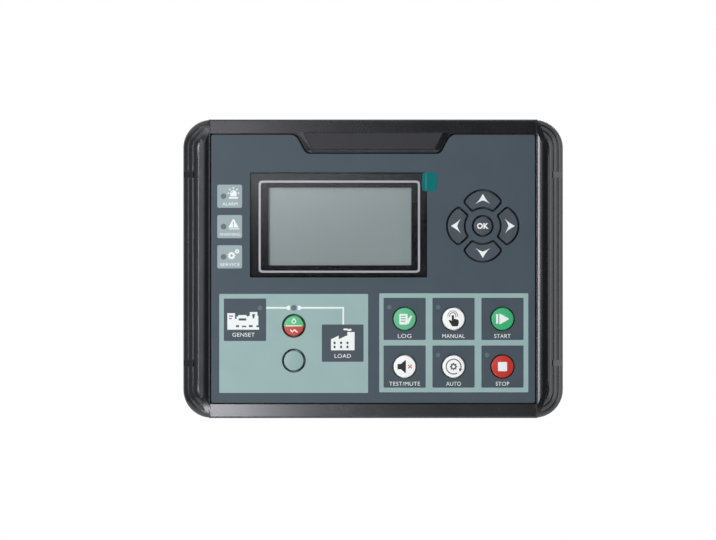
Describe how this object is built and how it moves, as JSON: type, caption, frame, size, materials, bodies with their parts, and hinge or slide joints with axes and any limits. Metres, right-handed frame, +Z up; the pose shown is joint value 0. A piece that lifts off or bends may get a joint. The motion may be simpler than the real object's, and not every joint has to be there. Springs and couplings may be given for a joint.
{
  "type": "genset controller",
  "caption": "Panel-mounted genset controller with a black moulded bezel, printed slate face, grey display, push keys, and a rear cover with plug-in terminals and panel clips.",
  "frame": {"origin": "centre of the panel cut-out, in the plane where the front's flange sits on the panel", "axes": "+X to the right as seen from the front, +Y to the rear through the panel, +Z up; the face looks along -Y"},
  "size_m": [0.242, 0.0541, 0.19],
  "materials": {
    "bezel_black": "polished black moulding",
    "overlay_slate": "fine-textured printed polycarbonate",
    "badge_grey": "smooth dark grey plate",
    "lens_clear": "clear acrylic with a black printed border",
    "film_clear": "thin clear film",
    "tab_green": "green film tab",
    "steel": "zinc-plated steel",
    "display_grey": "unlit grey display",
    "white_plastic": "white light spreader",
    "key_slate": "fine-textured slate",
    "key_green": "satin green",
    "key_white": "satin white",
    "key_red": "satin red",
    "key_pale": "satin pale grey-green",
    "silicone": "moulded silicone",
    "guide_clear": "clear acrylic rod",
    "led_plastic": "moulded diode",
    "board_green": "green solder mask",
    "chip_black": "black moulding compound",
    "brass_parts": "plain brass",
    "relay_dark": "dark sealed relay",
    "capacitor_blue": "sleeved capacitor",
    "terminal_green": "green connector plastic",
    "gasket_black": "soft black sealing rubber",
    "cover_black": "black moulding with a fine grain",
    "clip_grey": "dark grey moulding"
  },
  "bodies": {
    "housing": {"front_bezel": "bezel_black", "face_overlay": "overlay_slate", "badge_plate": "badge_grey", "display_lens": "lens_clear", "lens_film": "film_clear", "pull_tab": "tab_green", "display_frame": "steel", "display_glass": "display_grey", "display_backlight": "white_plastic", "key_mat": "silicone", "light_guides": "guide_clear", "status_leds": "led_plastic", "main_board": "board_green", "main_board_screws": "steel", "logic_chips": "chip_black", "buzzer": "chip_black", "cell_holder": "chip_black", "backup_cell": "steel", "link_socket": "chip_black", "link_header": "brass_parts", "board_spacers": "brass_parts", "power_board": "board_green", "power_board_screws": "steel", "relays": "relay_dark", "filter_capacitors": "capacitor_blue", "current_transformers": "chip_black", "terminal_header_top": "terminal_green", "terminal_header_left": "terminal_green", "terminal_header_right": "terminal_green", "terminal_pins": "brass_parts", "terminal_plug_top": "terminal_green", "terminal_plug_left": "terminal_green", "terminal_plug_right": "terminal_green", "terminal_screws": "steel", "panel_gasket": "gasket_black", "rear_cover": "cover_black", "cover_screws": "steel", "fixing_clips": "clip_grey", "clip_screws": "steel"},
    "key_up": {"key_up": "key_slate"},
    "key_down": {"key_down": "key_slate"},
    "key_left": {"key_left": "key_slate"},
    "key_right": {"key_right": "key_slate"},
    "key_ok": {"key_ok": "key_slate"},
    "key_log": {"key_log": "key_green"},
    "key_manual": {"key_manual": "key_white"},
    "key_start": {"key_start": "key_green"},
    "key_mute": {"key_mute": "key_white"},
    "key_auto": {"key_auto": "key_white"},
    "key_stop": {"key_stop": "key_red"},
    "key_breaker": {"key_breaker": "key_green"},
    "key_spare": {"key_spare": "key_pale"}
  },
  "joints": [
    {"name": "press_up", "type": "slide", "parent": "housing", "child": "key_up", "axis": [0, 1, 0], "range_m": [0, 0.001], "stiffness_N_per_m": 1500, "deforming": ["key_mat"]},
    {"name": "press_down", "type": "slide", "parent": "housing", "child": "key_down", "axis": [0, 1, 0], "range_m": [0, 0.001], "stiffness_N_per_m": 1500, "deforming": ["key_mat"]},
    {"name": "press_left", "type": "slide", "parent": "housing", "child": "key_left", "axis": [0, 1, 0], "range_m": [0, 0.001], "stiffness_N_per_m": 1500, "deforming": ["key_mat"]},
    {"name": "press_right", "type": "slide", "parent": "housing", "child": "key_right", "axis": [0, 1, 0], "range_m": [0, 0.001], "stiffness_N_per_m": 1500, "deforming": ["key_mat"]},
    {"name": "press_ok", "type": "slide", "parent": "housing", "child": "key_ok", "axis": [0, 1, 0], "range_m": [0, 0.001], "stiffness_N_per_m": 1500, "deforming": ["key_mat"]},
    {"name": "press_log", "type": "slide", "parent": "housing", "child": "key_log", "axis": [0, 1, 0], "range_m": [0, 0.001], "stiffness_N_per_m": 1500, "deforming": ["key_mat"]},
    {"name": "press_manual", "type": "slide", "parent": "housing", "child": "key_manual", "axis": [0, 1, 0], "range_m": [0, 0.001], "stiffness_N_per_m": 1500, "deforming": ["key_mat"]},
    {"name": "press_start", "type": "slide", "parent": "housing", "child": "key_start", "axis": [0, 1, 0], "range_m": [0, 0.001], "stiffness_N_per_m": 1500, "deforming": ["key_mat"]},
    {"name": "press_mute", "type": "slide", "parent": "housing", "child": "key_mute", "axis": [0, 1, 0], "range_m": [0, 0.001], "stiffness_N_per_m": 1500, "deforming": ["key_mat"]},
    {"name": "press_auto", "type": "slide", "parent": "housing", "child": "key_auto", "axis": [0, 1, 0], "range_m": [0, 0.001], "stiffness_N_per_m": 1500, "deforming": ["key_mat"]},
    {"name": "press_stop", "type": "slide", "parent": "housing", "child": "key_stop", "axis": [0, 1, 0], "range_m": [0, 0.001], "stiffness_N_per_m": 1500, "deforming": ["key_mat"]},
    {"name": "press_breaker", "type": "slide", "parent": "housing", "child": "key_breaker", "axis": [0, 1, 0], "range_m": [0, 0.001], "stiffness_N_per_m": 1500, "deforming": ["key_mat"]},
    {"name": "press_spare", "type": "slide", "parent": "housing", "child": "key_spare", "axis": [0, 1, 0], "range_m": [0, 0.001], "stiffness_N_per_m": 1500, "deforming": ["key_mat"]}
  ]
}
